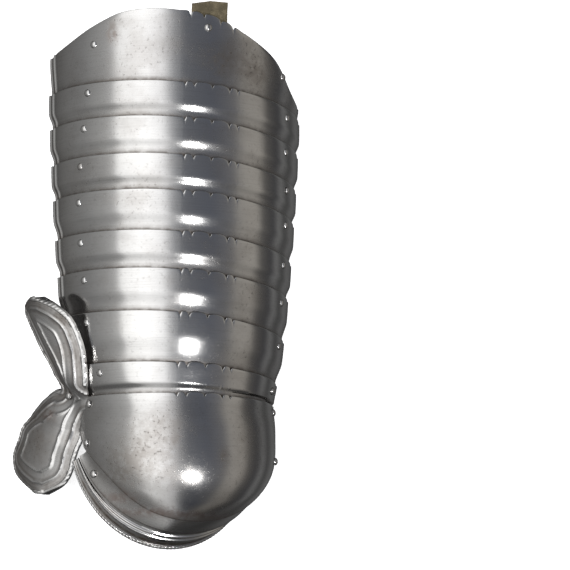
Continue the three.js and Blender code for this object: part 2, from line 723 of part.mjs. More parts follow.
// The rivet in the wing's pucker
const wingStart = wingPoint(wingRivetDown, wingRivetAcross, seatReach / 2);
const wingInward = wingPoint(wingRivetDown, wingRivetAcross, 0).sub(wingStart).normalize();
const wingRound = wingPoint(wingRivetDown, 0, 0).sub(wingPoint(wingRivetDown, 1, 0)).normalize();
const wingSeat = rivetSeat(faces[kneeIndex], faces[kneeIndex], wingStart, wingInward, wingRound);
wingSeat.point.addScaledVector(wingInward, -wingRivetLift);
wingSeat.stack += 2 * wingRivetLift;
plates[kneeIndex].solid = plates[kneeIndex].solid.subtract(holeSolid(wingSeat, 0));
addRivet("wing_rivet", wingSeat);

for (const plate of plates) {
  addMesh(plate.name, toGeometry(plate.solid), steel);
}

// How the part lies by itself: on the face of its hull that its centre of mass stands over
function layDown() {
  leg.updateMatrixWorld(true);
  const points = [];
  const middle = new THREE.Vector3();
  let volume = 0;
  leg.traverse((mesh) => {
    if (!mesh.isMesh) {
      return;
    }
    const position = mesh.geometry.attributes.position;
    const local = (k) => new THREE.Vector3().fromBufferAttribute(position, k);
    const corner = (k) => local(k).applyMatrix4(mesh.matrixWorld);
    const index = mesh.geometry.index;
    for (let k = 0; k < index.count; k += 3) {
      const [a, b, c] = [0, 1, 2].map((i) => corner(index.getX(k + i)));
      const wedge = a.dot(b.clone().cross(c)) / 6;
      volume += wedge;
      middle.addScaledVector(a.clone().add(b).add(c), wedge / 4);
      points.push(a);
    }
  });
  middle.divideScalar(volume);
  const hull = new ConvexHull().setFromPoints(points);
  const stable = hull.faces.filter((face) => {
    if (face.normal.z > -0.5) {
      return false;
    }
    const foot = middle.clone().addScaledVector(face.normal, -face.distanceToPoint(middle));
    const corners = [face.edge.tail().point, face.edge.head().point, face.edge.next.head().point];
    return new THREE.Triangle(...corners).containsPoint(foot);
  });
  const depth = (face) => -face.distanceToPoint(middle);
  const under = stable.reduce((low, face) => (depth(face) < depth(low) ? face : low));
  leg.quaternion.setFromUnitVectors(under.normal, new THREE.Vector3(0, 0, -1));
  const length = new THREE.Vector3(0, 1, 0).applyQuaternion(leg.quaternion);
  const upright = new THREE.Vector3(0, 0, 1);
  const turn = new THREE.Quaternion().setFromAxisAngle(upright, Math.atan2(length.x, length.y));
  leg.quaternion.premultiply(turn);
  leg.updateMatrixWorld(true);
  const box = new THREE.Box3().setFromObject(leg, true);
  const center = box.getCenter(new THREE.Vector3());
  leg.position.set(-center.x, -center.y, -box.min.z);
}
layDown();

export default leg;
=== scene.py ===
"""An articulated cuisse with its knee piece, lying on its open back on a pale floor.

The plates follow the same leg surface as the CAD part. All leg sizes are in millimetres, with X to
the inner side, -Y down the leg and +Z forward, and the whole leg is then turned and moved to where
the part rests.
"""
import math

import bpy
import numpy as np
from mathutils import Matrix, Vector


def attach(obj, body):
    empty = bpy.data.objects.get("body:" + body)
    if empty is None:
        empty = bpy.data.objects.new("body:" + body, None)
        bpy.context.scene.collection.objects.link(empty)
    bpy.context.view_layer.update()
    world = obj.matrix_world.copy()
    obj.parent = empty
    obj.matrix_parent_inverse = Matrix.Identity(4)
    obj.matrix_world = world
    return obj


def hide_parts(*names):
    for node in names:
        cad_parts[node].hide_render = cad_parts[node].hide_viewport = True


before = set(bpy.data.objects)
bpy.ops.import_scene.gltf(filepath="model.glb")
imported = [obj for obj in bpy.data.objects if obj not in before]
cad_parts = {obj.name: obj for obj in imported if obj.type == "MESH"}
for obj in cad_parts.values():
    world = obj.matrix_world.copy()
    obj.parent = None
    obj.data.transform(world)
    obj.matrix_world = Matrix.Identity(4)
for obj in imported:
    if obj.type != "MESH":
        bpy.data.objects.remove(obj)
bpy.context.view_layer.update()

# Plates and leg, as in the part
PLATE = 1.2
NEST = 1.2
OVERLAP = 12.5
SLIDE_ROOM = 3.5
FOOT_SINK = 2.4
THIGH_LENGTH = 299.0
KNEE_LENGTH = 155.0
THIGH_HALF_WIDTH = 101.0
THIGH_DEPTH = 95.0
KNEE_HALF_WIDTH = 79.0
KNEE_DEPTH = 83.0
OUTER_BORDER = 94.0
INNER_BORDER = 80.0
TOP_FALL_OUTER = 26.0
TOP_FALL_INNER = 58.0
TOP_CREST = -30.0
EDGE_FALL = 16.0
CUSP_RISE = 1.2
NOTCH_DEPTH = 2.8
CUSP_SPAN = 23.6
TOP_CUSP_SPAN = 26.0
RIM_HEIGHT = 1.2
RIDGE_HEIGHT = 1.0
BAND_WIDTH = 12.4
KNEE_OVERLAP = 15.0
KNEE_EAR = 50.0
KNEE_EDGE_RISE = 22.0
HEM_WIDTH = 4.0
HEM_HEIGHT = 1.6
KNEE_RIDGE = 1.3
KNEE_RIDGE_SPACING = 5.0

# Wing
WING_REACH = 71.0
WING_HEIGHT = 169.0
WING_ROOT_ALONG = 312.0
WING_ROOT_ANGLE = 81.0
WING_LEAN = 18.0
WING_FLARE_FRONT = 36.0
WING_FLARE_BACK = 8.0
WING_TILT = 6.0
WING_STEP = 4.0
WING_STEP_SPAN = 14.0
WING_ROOT_UP = 8.0
WING_ROOT_DOWN = 18.0
WING_DOME = 6.0
WING_PUCKER = 4.5
PUCKER_WIDTH = 16.0
WING_JOINED = (6, 9)  # the rows between which its front runs into the knee plate
WING_RIDGES = (9.0, 18.0)  # how far in from its outline the two ridges run
WING_VALLEYS = ((4.4, 1.5), (11.2, 1.2), (6.9, 1.0))  # where painted shade lies beside the rim and ridges: how far in, and half its width

# Where the leg lies in the row frame: a turn as a quaternion (x, y, z, w) and a move in millimetres
REST_TURN = (0.00621681, 0.17916176, 0.00113216, 0.98379934)
REST_PLACE = (12.941354, 205.507856, 20.917534)

# Photo framing: millimetres a pixel, the row-frame point at the picture's centre, and the view's elevation
PIXEL = 0.795
VIEW_CENTER = (103.0, -2.0, 40.0)
VIEW_ELEVATION = 81.0
VIEW_DISTANCE = 2.2

SECTIONS = [  # along, down, rise, lean, width, depth, shift, cut, band
    (-0.1 * THIGH_LENGTH, -0.1 * THIGH_LENGTH, 0, 0, 1.012 * THIGH_HALF_WIDTH, 1.01 * THIGH_DEPTH, 0, 0, 1),
    (0.19 * THIGH_LENGTH, 0.19 * THIGH_LENGTH, 0, 0, 1.0 * THIGH_HALF_WIDTH, 1.0 * THIGH_DEPTH, 0, 0, 1),
    (0.5 * THIGH_LENGTH, 0.5 * THIGH_LENGTH, 0, 0, 0.955 * THIGH_HALF_WIDTH, 0.965 * THIGH_DEPTH, 0, 0, 1),
    (0.79 * THIGH_LENGTH, 0.79 * THIGH_LENGTH, 0, 0, 0.885 * THIGH_HALF_WIDTH, 0.9 * THIGH_DEPTH, 0, 0, 1),
    (0.92 * THIGH_LENGTH, 0.92 * THIGH_LENGTH, 0, 0, 0.835 * THIGH_HALF_WIDTH, 0.855 * THIGH_DEPTH, 0, 0, 1),
]
for along, down, rise, lean, width, depth, shift, cut, band in [
    (0, 0, 0, 0, 1, 0.95, 0, 0, 1),
    (0.16, 0.1, 0.05, 8, 1, 0.985, 0, 3, 0.4),
    (0.36, 0.19, 0.1, 22, 0.995, 1.005, 0, 8, 0),
    (0.54, 0.22, 0.13, 37, 0.985, 0.99, 0, 10, 0),
    (0.68, 0.23, 0.14, 50, 0.975, 0.975, -0.02, 11, 0),
    (0.84, 0.24, 0.14, 62, 0.965, 0.98, -0.08, 11, 0),
    (1, 0.26, 0.13, 76, 0.955, 1, -0.16, 11, 0),
]:
    SECTIONS.append((
        THIGH_LENGTH + along * KNEE_LENGTH, THIGH_LENGTH + down * KNEE_LENGTH, rise * KNEE_DEPTH, lean,
        width * KNEE_HALF_WIDTH, depth * KNEE_DEPTH, shift * KNEE_HALF_WIDTH, cut, band,
    ))
SECTIONS = np.array(SECTIONS, float)

EDGES = [  # a lame's upper edge: place along the thigh, and its share of the fall
    (0.187, 1), (0.28, 1), (0.378, 1), (0.472, 0.95), (0.578, 0.95),
    (0.676, 0.95), (0.786, 1), (0.918, 0.65), (1, 0.2),
]
TOP_EDGE = np.array([  # degrees from the front, share fallen
    (-94, 1), (-74, 0.79), (-54, 0.34), (-42, 0.08), (-30, 0), (-12, 0.03), (0, 0.1), (10, 0.2),
    (23, 0.36), (36, 0.55), (50, 0.88), (62, 1), (80, 1),
])
CUSPS = np.array([  # place across, height of the cusp, depth of the notch
    (0, 0, 0.85), (0.045, 0.1, 0.1), (0.08, 0.35, 0), (0.2, 0.85, 0), (0.32, 1, 0), (0.45, 0.75, 0),
    (0.56, 0.1, 0.05), (0.63, 0, 1), (0.67, 0.1, 0.15), (0.71, 0.5, 0), (0.79, 0.6, 0), (0.87, 0.3, 0),
    (0.93, 0, 0.85), (0.97, 0, 0.1), (1, 0, 0),
])
TOP_CUSPS = np.array([
    (0, 1.3, 0), (0.14, 1.1, 0), (0.22, 0.5, 0), (0.27, 0, 0.95), (0.31, 0.1, 0.1), (0.36, 0.4, 0),
    (0.48, 1, 0), (0.58, 0.5, 0), (0.64, 0.05, 0.1), (0.69, 0, 0.95), (0.73, 0.2, 0.1), (0.78, 0.5, 0),
    (0.88, 0.35, 0), (1, 0, 0),
])
WING_ROWS = np.array([  # frontBack, frontUp, rearBack, rearUp
    (0.533, 0.486, 0.718, 0.474), (0.312, 0.468, 0.875, 0.434), (0.118, 0.432, 0.918, 0.388),
    (0.003, 0.38, 0.842, 0.347), (-0.092, 0.297, 0.704, 0.292), (-0.124, 0.218, 0.562, 0.223),
    (-0.135, 0.126, 0.425, 0.15), (-0.078, 0.043, 0.358, 0.062), (-0.094, 0.002, 0.471, 0.046),
    (-0.099, -0.04, 0.676, -0.037), (-0.067, -0.099, 0.854, -0.131), (-0.106, -0.163, 0.89, -0.222),
    (-0.09, -0.236, 0.942, -0.309), (-0.081, -0.303, 0.829, -0.376), (-0.007, -0.366, 0.637, -0.409),
    (0.178, -0.426, 0.37, -0.433),
])

# name, body, seat in the row frame in millimetres, and the way its head points
RIVETS = [
    ("rivet_1_outer", "lame_1", -51.18, 141.02, 96.95, -0.6763, -0.0414, 0.7355),
    ("rivet_1_inner", "lame_1", 104.37, 129.79, 56.31, 0.8821, -0.0393, 0.4694),
    ("rivet_2_outer", "lame_2", -54.15, 113.30, 92.48, -0.6770, -0.0507, 0.7342),
    ("rivet_2_inner", "lame_2", 103.34, 101.98, 55.72, 0.8830, -0.0480, 0.4669),
    ("rivet_3_outer", "lame_3", -56.75, 84.07, 87.84, -0.6772, -0.0618, 0.7332),
    ("rivet_3_inner", "lame_3", 104.28, 72.22, 50.52, 0.9597, -0.0572, 0.2751),
    ("rivet_4_outer", "lame_4", -57.92, 56.01, 84.24, -0.6778, -0.0712, 0.7318),
    ("rivet_4_inner", "lame_4", 103.15, 44.60, 48.17, 0.9594, -0.0683, 0.2736),
    ("rivet_5_outer", "lame_5", -56.27, 24.33, 82.43, -0.6778, -0.0839, 0.7304),
    ("rivet_5_inner", "lame_5", 101.40, 12.79, 45.62, 0.9588, -0.0810, 0.2723),
    ("rivet_6_outer", "lame_6", -53.36, -4.97, 81.56, -0.6775, -0.0941, 0.7295),
    ("rivet_6_inner", "lame_6", 99.89, -16.76, 41.61, 0.9582, -0.0902, 0.2715),
    ("rivet_7_outer", "lame_7", -51.10, -37.84, 79.11, -0.6767, -0.1134, 0.7275),
    ("rivet_7_inner", "lame_7", 97.75, -50.70, 36.06, 0.9549, -0.1284, 0.2679),
    ("rivet_8_outer", "lame_8", -40.49, -77.57, 80.65, -0.6746, -0.2166, 0.7056),
    ("rivet_8_inner", "lame_8", 92.84, -86.04, 32.45, 0.9516, -0.1738, 0.2536),
    ("rivet_9_outer", "knee", -49.78, -100.23, 66.88, -0.8339, -0.0033, 0.5518),
    ("rivet_9_inner", "knee", 93.11, -102.31, 23.51, 0.9862, 0.1381, 0.0913),
    ("knee_rivet_1_outer", "knee", -51.32, -130.77, 67.27, -0.8323, -0.0190, 0.5540),
    ("knee_rivet_1_inner", "knee", 94.85, -141.88, 30.92, 0.9920, -0.0391, 0.1201),
    ("knee_rivet_2_outer", "knee_lame_1", -45.58, -155.06, 68.98, -0.5434, 0.0068, 0.8395),
    ("knee_rivet_2_inner", "knee_lame_1", 81.49, -165.14, 28.20, 0.6981, -0.6084, -0.3775),
    ("top_rivet_outer", "top", -46.51, 179.32, 99.38, -0.4559, -0.0699, 0.8873),
    ("top_rivet_inner", "top", 100.72, 161.62, 62.35, 0.8501, -0.1051, 0.5160),
    ("strap_rivet", "top", 43.15, 189.95, 110.94, 0.3249, -0.0619, 0.9437),
    ("wing_rivet", "knee", -66.92, -92.06, 52.25, -0.7489, -0.0610, 0.6598),
]


# ---------------------------------------------------------------- leg surface
def column(at, values, place):
    """A smooth value at each place, from values placed by at."""
    i = np.clip(np.searchsorted(at, place, side="left") - 1, 0, len(at) - 2)
    before = np.maximum(i - 1, 0)
    after = np.minimum(i + 2, len(at) - 1)
    span = at[i + 1] - at[i]
    t = (place - at[i]) / span
    slope_from = (values[i + 1] - values[before]) / (at[i + 1] - at[before]) * span
    slope_to = (values[after] - values[i]) / (at[after] - at[i]) * span
    bend = values[i] - values[i + 1]
    square = 3 * bend + 2 * slope_from + slope_to
    cube = 2 * bend + slope_from + slope_to
    return values[i] + slope_from * t - square * t**2 + cube * t**3


def section(key, along):
    return column(SECTIONS[:, 0], SECTIONS[:, key], np.asarray(along, float))


def base_point(along, angle):
    forward = section(5, along) * np.cos(angle)
    lean = np.radians(section(3, along))
    return np.stack([
        section(6, along) + section(4, along) * np.sin(angle),
        -section(1, along) - forward * np.sin(lean),
        section(2, along) + forward * np.cos(lean),
    ], -1)


def unit(v):
    return v / np.linalg.norm(v, axis=-1, keepdims=True)


def surface_point(along, angle, offset):
    down = base_point(along + 0.5, angle) - base_point(along - 0.5, angle)
    across = base_point(along, angle + 0.005) - base_point(along, angle - 0.005)
    return base_point(along, angle) + unit(np.cross(down, across)) * np.asarray(offset)[..., None]


def to_row(points):
    """Leg points in millimetres to the row frame in metres."""
    x, y, z, w = REST_TURN
    turn = np.array([
        [1 - 2 * (y * y + z * z), 2 * (x * y - z * w), 2 * (x * z + y * w)],
        [2 * (x * y + z * w), 1 - 2 * (x * x + z * z), 2 * (y * z - x * w)],
        [2 * (x * z - y * w), 2 * (y * z + x * w), 1 - 2 * (x * x + y * y)],
    ])
    return (points @ turn.T + np.array(REST_PLACE)) / 1000


def photo_pixel(points):
    """Where row-frame points in metres lie in the photo, in its pixels."""
    rise = math.radians(VIEW_ELEVATION)
    offset = points * 1000 - np.array(VIEW_CENTER)
    up = offset[..., 1] * math.sin(rise) + offset[..., 2] * math.cos(rise)
    near = offset[..., 2] * math.sin(rise) - offset[..., 1] * math.cos(rise)
    scale = VIEW_DISTANCE * 1000 / (VIEW_DISTANCE * 1000 - near) / PIXEL
    return 285 + offset[..., 0] * scale, 285 - up * scale


# ---------------------------------------------------------------- edges
def edge_along(k, angle):
    along, fall = EDGES[k]
    share = (1 + np.sin(angle)) / 2
    return along * THIGH_LENGTH + fall * EDGE_FALL * share**2


def top_along(angle):
    share = column(TOP_EDGE[:, 0], TOP_EDGE[:, 1], np.degrees(angle))
    return share * np.where(angle < math.radians(TOP_CREST), TOP_FALL_OUTER, TOP_FALL_INNER)


def cusp_rise(pattern, half_span, across):
    """How far the cusped edge stands up at a distance across from the front line."""
    share = np.clip(np.abs(across) / half_span, 0, 1)
    height = pattern[:, 1] * CUSP_RISE - pattern[:, 2] * NOTCH_DEPTH
    return np.interp(share, pattern[:, 0], height)


def band_emboss(distance, strength):
    """The border's relief at a distance in from its edge: a turned rim, a sunk groove and a fine ridge."""
    share = distance / BAND_WIDTH
    rim = np.sqrt(np.clip(1 - ((share - 0.11) / 0.13) ** 2, 0, 1))
    ridge = np.exp(-(((share - 0.84) / 0.075) ** 2))
    dip = np.exp(-(((share - 1.02) / 0.06) ** 2)) * 0.25
    return (rim * RIM_HEIGHT + (ridge - dip) * RIDGE_HEIGHT) * strength


# ---------------------------------------------------------------- meshes
def make_mesh(name, outer, inner, marks, uv):
    """A closed wall between two grids of row-frame points, with marks and a flat map in metres."""
    rows, cols = outer.shape[:2]
    points = np.concatenate([outer.reshape(-1, 3), inner.reshape(-1, 3)])
    step = rows * cols
    j, i = np.meshgrid(np.arange(rows - 1), np.arange(cols - 1), indexing="ij")
    a = (j * cols + i).ravel()
    faces = [np.stack([a, a + cols, a + cols + 1, a + 1], 1)]
    b = a + step
    faces.append(np.stack([b, b + 1, b + cols + 1, b + cols], 1))
    j = np.arange(rows - 1) * cols
    faces.append(np.stack([j, j + step, j + cols + step, j + cols], 1))
    j = j + cols - 1
    faces.append(np.stack([j, j + cols, j + cols + step, j + step], 1))
    i = np.arange(cols - 1)
    faces.append(np.stack([i, i + 1, i + 1 + step, i + step], 1))
    i = i + (rows - 1) * cols
    faces.append(np.stack([i, i + step, i + 1 + step, i + 1], 1))
    faces = np.concatenate(faces)
    mesh = bpy.data.meshes.new(name)
    mesh.from_pydata(points.tolist(), [], faces.tolist())
    for label, values in marks.items():
        layer = mesh.attributes.new(label, "FLOAT", "POINT")
        both = np.concatenate([np.broadcast_to(values, (rows, cols)).ravel()] * 2)
        layer.data.foreach_set("value", both.astype(np.float32))
    layer = mesh.uv_layers.new(name="leg_map")
    flat = np.concatenate([uv.reshape(-1, 2)] * 2)
    loops = np.zeros(len(mesh.loops), np.int32)
    mesh.loops.foreach_get("vertex_index", loops)
    layer.data.foreach_set("uv", flat[loops].astype(np.float32).ravel())
    mesh.shade_smooth()
    obj = bpy.data.objects.new(name, mesh)
    bpy.context.scene.collection.objects.link(obj)
    return obj


def sharp_edges(obj, degrees):
    obj.data.set_sharp_from_angle(angle=math.radians(degrees))


def plate_angles(at_along, half_span, fine=0.42):
    """Angles across a plate, close together at its borders and its cusps, and its size there."""
    cut = math.radians(float(section(7, at_along)))
    depth = float(section(5, at_along))
    width = float(section(4, at_along))
    outer = -math.radians(OUTER_BORDER) + cut
    inner = math.radians(INNER_BORDER) - cut
    band = BAND_WIDTH / depth
    front = half_span / width
    count = int(2 * half_span / fine)
    angles = np.concatenate([
        np.linspace(outer, outer + 1.12 * band, 34)[:-1],
        np.linspace(outer + 1.12 * band, -front, 34)[:-1],
        np.linspace(-front, front, count)[:-1],
        np.linspace(front, inner - 1.12 * band, 34)[:-1],
        np.linspace(inner - 1.12 * band, inner, 34),
    ])
    return angles, outer, inner, depth, width


# How a visible upper edge is rounded over: distance down from the edge and how far the face has fallen there
EDGE_ROUND = [(0, 0.42), (0.12, 0.2), (0.32, 0.06), (0.6, 0)]


def thigh_plate(k):
    """Plate k: 0 is the top plate, 1 to 8 the lames."""
    pattern, span = (TOP_CUSPS, TOP_CUSP_SPAN) if k == 0 else (CUSPS, CUSP_SPAN)
    start = 20.0 if k == 0 else EDGES[k - 1][0] * THIGH_LENGTH
    angles, outer_edge, inner_edge, depth, width = plate_angles(start, span)
    upper = (lambda a: top_along(a)) if k == 0 else (lambda a: edge_along(k - 1, a))
    lower = lambda a: edge_along(k, a)
    rise = cusp_rise(pattern, span, angles * width)
    top = upper(angles)
    foot = lower(angles)
    along_rows, offset_rows, fall_rows = [], [], []
    nest_start = 0.0 if k == 0 else NEST
    lap = 0.0 if k == 0 else OVERLAP + SLIDE_ROOM
    sink = FOOT_SINK * np.cos(angles) ** 2 if k == 8 else 0 * angles
    for distance, fall in EDGE_ROUND:
        along_rows.append(top - rise + distance)
        offset_rows.append(np.full_like(angles, nest_start))
        fall_rows.append(fall)
    count = 14
    for i in range(1, count + 1):
        t = i / count
        along = (top - rise + EDGE_ROUND[-1][0]) * (1 - t) + foot * t
        down = along - top
        share = np.clip((down - lap) / np.maximum(foot - SLIDE_ROOM - top - lap, 1e-3), 0, 1)
        sunk = np.clip((down - lap) / np.maximum(foot + OVERLAP - top - lap, 1e-3), 0, 1) ** 2
        share = share * share * (3 - 2 * share)
        bow = 0.35 * np.sin(np.pi * np.clip(down / np.maximum(foot - top, 1e-3), 0, 1))
        along_rows.append(along)
        offset_rows.append(nest_start * (1 - share) - NEST * share + bow - sink * sunk)
        fall_rows.append(0)
    for i in range(1, 4):
        along = foot + OVERLAP * i / 3
        along_rows.append(along)
        room = np.maximum(foot + OVERLAP - top - lap, 1e-3)
        sunk = np.clip((along - top - lap) / room, 0, 1) ** 2
        offset_rows.append(-NEST - sink * sunk)
        fall_rows.append(0)
    along = np.array(along_rows)
    offset = np.array(offset_rows)
    fall = np.array(fall_rows)[:, None]
    from_border = np.minimum((angles - outer_edge) * depth, (inner_edge - angles) * depth)
    emboss = band_emboss(from_border, float(section(8, start)))[None, :]
    grid = np.broadcast_to(angles, along.shape)
    outer = surface_point(along, grid, offset + emboss - fall)
    inner = surface_point(along, grid, offset + emboss * 0.9 - PLATE + np.minimum(fall, 0.15))
    # painted shade: lap_shade darkens the strip of the plate just above the edge of the next plate, which
    # lies over it
    lap_shade = np.exp(-np.clip(foot[None, :] - along, 0, 99) / 2.2) * (along < foot[None, :] + 1)
    edge_wear = np.exp(-np.clip(along - (top - rise)[None, :], 0, 99) / 1.2)
    # painted shade: the groove mark darkens the sunk groove of the border
    groove = np.exp(-(((from_border / BAND_WIDTH) - 0.5) / 0.22) ** 2)[None, :] + 0 * along
    uv = np.stack([grid * depth, -along], -1) / 1000
    return outer, inner, {"lap": lap_shade, "wear": edge_wear, "groove": groove}, uv


def knee_plate():
    angles, outer_edge, inner_edge, depth, width = plate_angles(THIGH_LENGTH, CUSP_SPAN)
    rise = cusp_rise(CUSPS, CUSP_SPAN, angles * width)
    top = edge_along(8, angles)
    foot = THIGH_LENGTH + 0.68 * KNEE_LENGTH - KNEE_EDGE_RISE * np.sin(angles) ** 4
    along_rows, fall_rows = [], []
    for distance, fall in EDGE_ROUND:
        along_rows.append(top - rise + distance)
        fall_rows.append(fall)
    count = 84
    for i in range(1, count + 1):
        t = i / count
        along_rows.append((top - rise + EDGE_ROUND[-1][0]) * (1 - t) + (foot - EDGE_ROUND[-1][0]) * t)
        fall_rows.append(0)
    for distance, fall in EDGE_ROUND[::-1][1:]:
        along_rows.append(foot - distance)
        fall_rows.append(fall)
    along = np.array(along_rows)
    fall = np.array(fall_rows)[:, None]
    # the borders narrow as the plate wraps round less
    cut = np.radians(section(7, along) - section(7, THIGH_LENGTH))
    share = (angles - outer_edge) / (inner_edge - angles[0])
    grid = (outer_edge + cut) + share[None, :] * ((inner_edge - cut) - (outer_edge + cut))
    from_border = np.minimum(grid - (outer_edge + cut), (inner_edge - cut) - grid) * depth
    emboss = band_emboss(from_border, section(8, along))
    offset = np.full_like(along, NEST)
    outer = surface_point(along, grid, offset + emboss - fall)
    inner = surface_point(along, grid, offset + emboss * 0.9 - PLATE + np.minimum(fall, 0.15))
    # painted shade: darkens the knee plate towards its lower edge, which lies over the first knee lame
    lap_shade = np.exp(-np.clip(foot[None, :] - along, 0, 99) / 2.5)
    edge_wear = np.exp(-np.clip(along - (top - rise)[None, :], 0, 99) / 1.2)
    # painted shade: the groove mark darkens the border's sunk groove, less where the border fades
    groove = np.exp(-(((from_border / BAND_WIDTH) - 0.5) / 0.22) ** 2) * section(8, along)
    uv = np.stack([grid * depth, -along], -1) / 1000
    return outer, inner, {"lap": lap_shade, "wear": edge_wear, "groove": groove}, uv


def under_edge(along, ear, angles):
    return THIGH_LENGTH + along * KNEE_LENGTH - KNEE_OVERLAP - ear * KNEE_EAR * np.sin(angles) ** 4


def knee_lame(last):
    cut = math.radians(11)
    outer_edge = cut - math.radians(OUTER_BORDER)
    inner_edge = math.radians(INNER_BORDER) - cut
    angles = np.linspace(outer_edge, inner_edge, 420 if last else 200)
    offset0 = -3 * NEST if last else -NEST
    top = under_edge(0.83, 0.55, angles) if last else under_edge(0.68, 1, angles)
    foot = THIGH_LENGTH + (1.0 if last else 0.83) * KNEE_LENGTH + 0 * angles
    along_rows, offset_rows, extra_rows = [], [], []
    if last:
        hem = foot - HEM_WIDTH
        for i in range(25):
            t = i / 24
            along_rows.append(top * (1 - t) + (hem - 17) * t)
            offset_rows.append(0 * angles)
            extra_rows.append(0)
        for i in range(1, 41):
            along = hem - 17 + 17 * i / 40
            bump = sum(np.exp(-(((along - (hem - n * KNEE_RIDGE_SPACING)) / 1.25) ** 2)) for n in (3, 2))
            along_rows.append(along)
            offset_rows.append(bump * KNEE_RIDGE)
            extra_rows.append(0)
        for i in range(1, 13):
            turn = math.pi * i / 12
            swell = math.sin(turn)
            rope = 0.3 * np.sin(angles * 84 * 1.9 + turn * 1.6) * swell
            along_rows.append(hem + HEM_WIDTH * (1 - math.cos(turn)) / 2)
            offset_rows.append((HEM_HEIGHT - 0.25) * swell**0.7 + rope)
            extra_rows.append(HEM_HEIGHT * swell)
    else:
        for i in range(36):
            t = i / 35
            along_rows.append(top * (1 - t) + (foot - EDGE_ROUND[-1][0]) * t)
            offset_rows.append(0 * angles)
            extra_rows.append(0)
        for distance, fall in EDGE_ROUND[::-1][1:]:
            along_rows.append(foot - distance)
            offset_rows.append(0 * angles - fall)
            extra_rows.append(0)
    along = np.array(along_rows)
    offset = np.array(offset_rows) + offset0
    extra = np.array(extra_rows)[:, None]
    grid = np.broadcast_to(angles, along.shape)
    outer = surface_point(along, grid, offset)
    inner = surface_point(along, grid, np.full_like(along, offset0) - PLATE - extra * 0.5)
    # painted shade: the first knee lame darkens towards its lower edge, the last one in a band just above its
    # roped hem
    if last:
        lap_shade = np.exp(-(((along - foot + 7.5) / 2.0) ** 2))
    else:
        lap_shade = np.exp(-np.clip(foot[None, :] - along, 0, 99) / 2.5)
    uv = np.stack([grid * 84, -along], -1) / 1000
    return outer, inner, {"lap": lap_shade, "wear": 0 * along, "groove": 0 * along}, uv


# ---------------------------------------------------------------- wing
def wing_sheet(down, across):
    """Points of the wing's sheet with its height above or below it, from shares down and across."""
    place = down * (len(WING_ROWS) - 1)
    at = np.arange(len(WING_ROWS), dtype=float)
    front_back, front_up, rear_back, rear_up = (column(at, WING_ROWS[:, c], place) for c in range(4))
    back = (front_back * (1 - across) + rear_back * across) * WING_REACH
    up = (front_up * (1 - across) + rear_up * across) * WING_HEIGHT
    front = math.radians(WING_FLARE_FRONT)
    bend = (math.radians(WING_FLARE_BACK) - front) / WING_REACH
    outward = np.zeros_like(back)
    rearward = np.zeros_like(back)
    for i in range(12):
        flare = front + bend * back * ((i + 0.5) / 12)
        outward += np.sin(flare) * back / 12
        rearward += np.cos(flare) * back / 12
    lean = math.radians(WING_LEAN)
    root = np.array(WING_ROOT_ALONG), np.array(-math.radians(WING_ROOT_ANGLE))
    tip = surface_point(*root, np.array(NEST + RIM_HEIGHT))
    free = np.maximum(np.maximum(up - WING_ROOT_UP, -WING_ROOT_DOWN - up), 0)
    t = np.clip(free / WING_STEP_SPAN, 0, 1)
    step = WING_STEP * t * t * (3 - 2 * t)
    points = np.stack([
        tip[0] - outward - step - free * math.tan(math.radians(WING_TILT)),
        tip[1] + up * math.cos(lean) + rearward * math.sin(lean),
        tip[2] + up * math.sin(lean) - rearward * math.cos(lean),
    ], -1)
    notch_up = 0.1 * WING_HEIGHT * np.clip(back / (0.47 * WING_REACH), 0, 1)
    from_pucker = (up - notch_up) / PUCKER_WIDTH
    lobe = 1 - (2 * across - 1) ** 2
    dome = WING_DOME * lobe * (1 - np.exp(-(from_pucker**2)))
    fold = WING_PUCKER * np.exp(-(from_pucker**2)) * np.clip(back / (0.4 * WING_REACH), 0, 1)
    return points, dome - fold, back, up


def wing_outline_distance(back, up):
    """How far each point lies in from the wing's outline, in its flat pattern."""
    rows = np.linspace(0, 1, 160)
    place = rows * (len(WING_ROWS) - 1)
    at = np.arange(len(WING_ROWS), dtype=float)
    size = np.array([WING_REACH, WING_HEIGHT])
    front = np.stack([column(at, WING_ROWS[:, c], place) for c in (0, 1)], 1) * size
    rear = np.stack([column(at, WING_ROWS[:, c], place) for c in (2, 3)], 1) * size
    cap = np.linspace(front[0], rear[0], 12)
    foot = np.linspace(front[-1], rear[-1], 12)
    joined = (place > WING_JOINED[0]) & (place < WING_JOINED[1])
    outline = np.concatenate([front[~joined], rear, cap, foot])
    flat = np.stack([back.ravel(), up.ravel()], 1)
    best = np.full(len(flat), 1e9)
    for start in range(0, len(outline), 40):
        gap = np.linalg.norm(flat[:, None, :] - outline[None, start:start + 40, :], axis=2).min(1)
        best = np.minimum(best, gap)
    return best.reshape(back.shape)


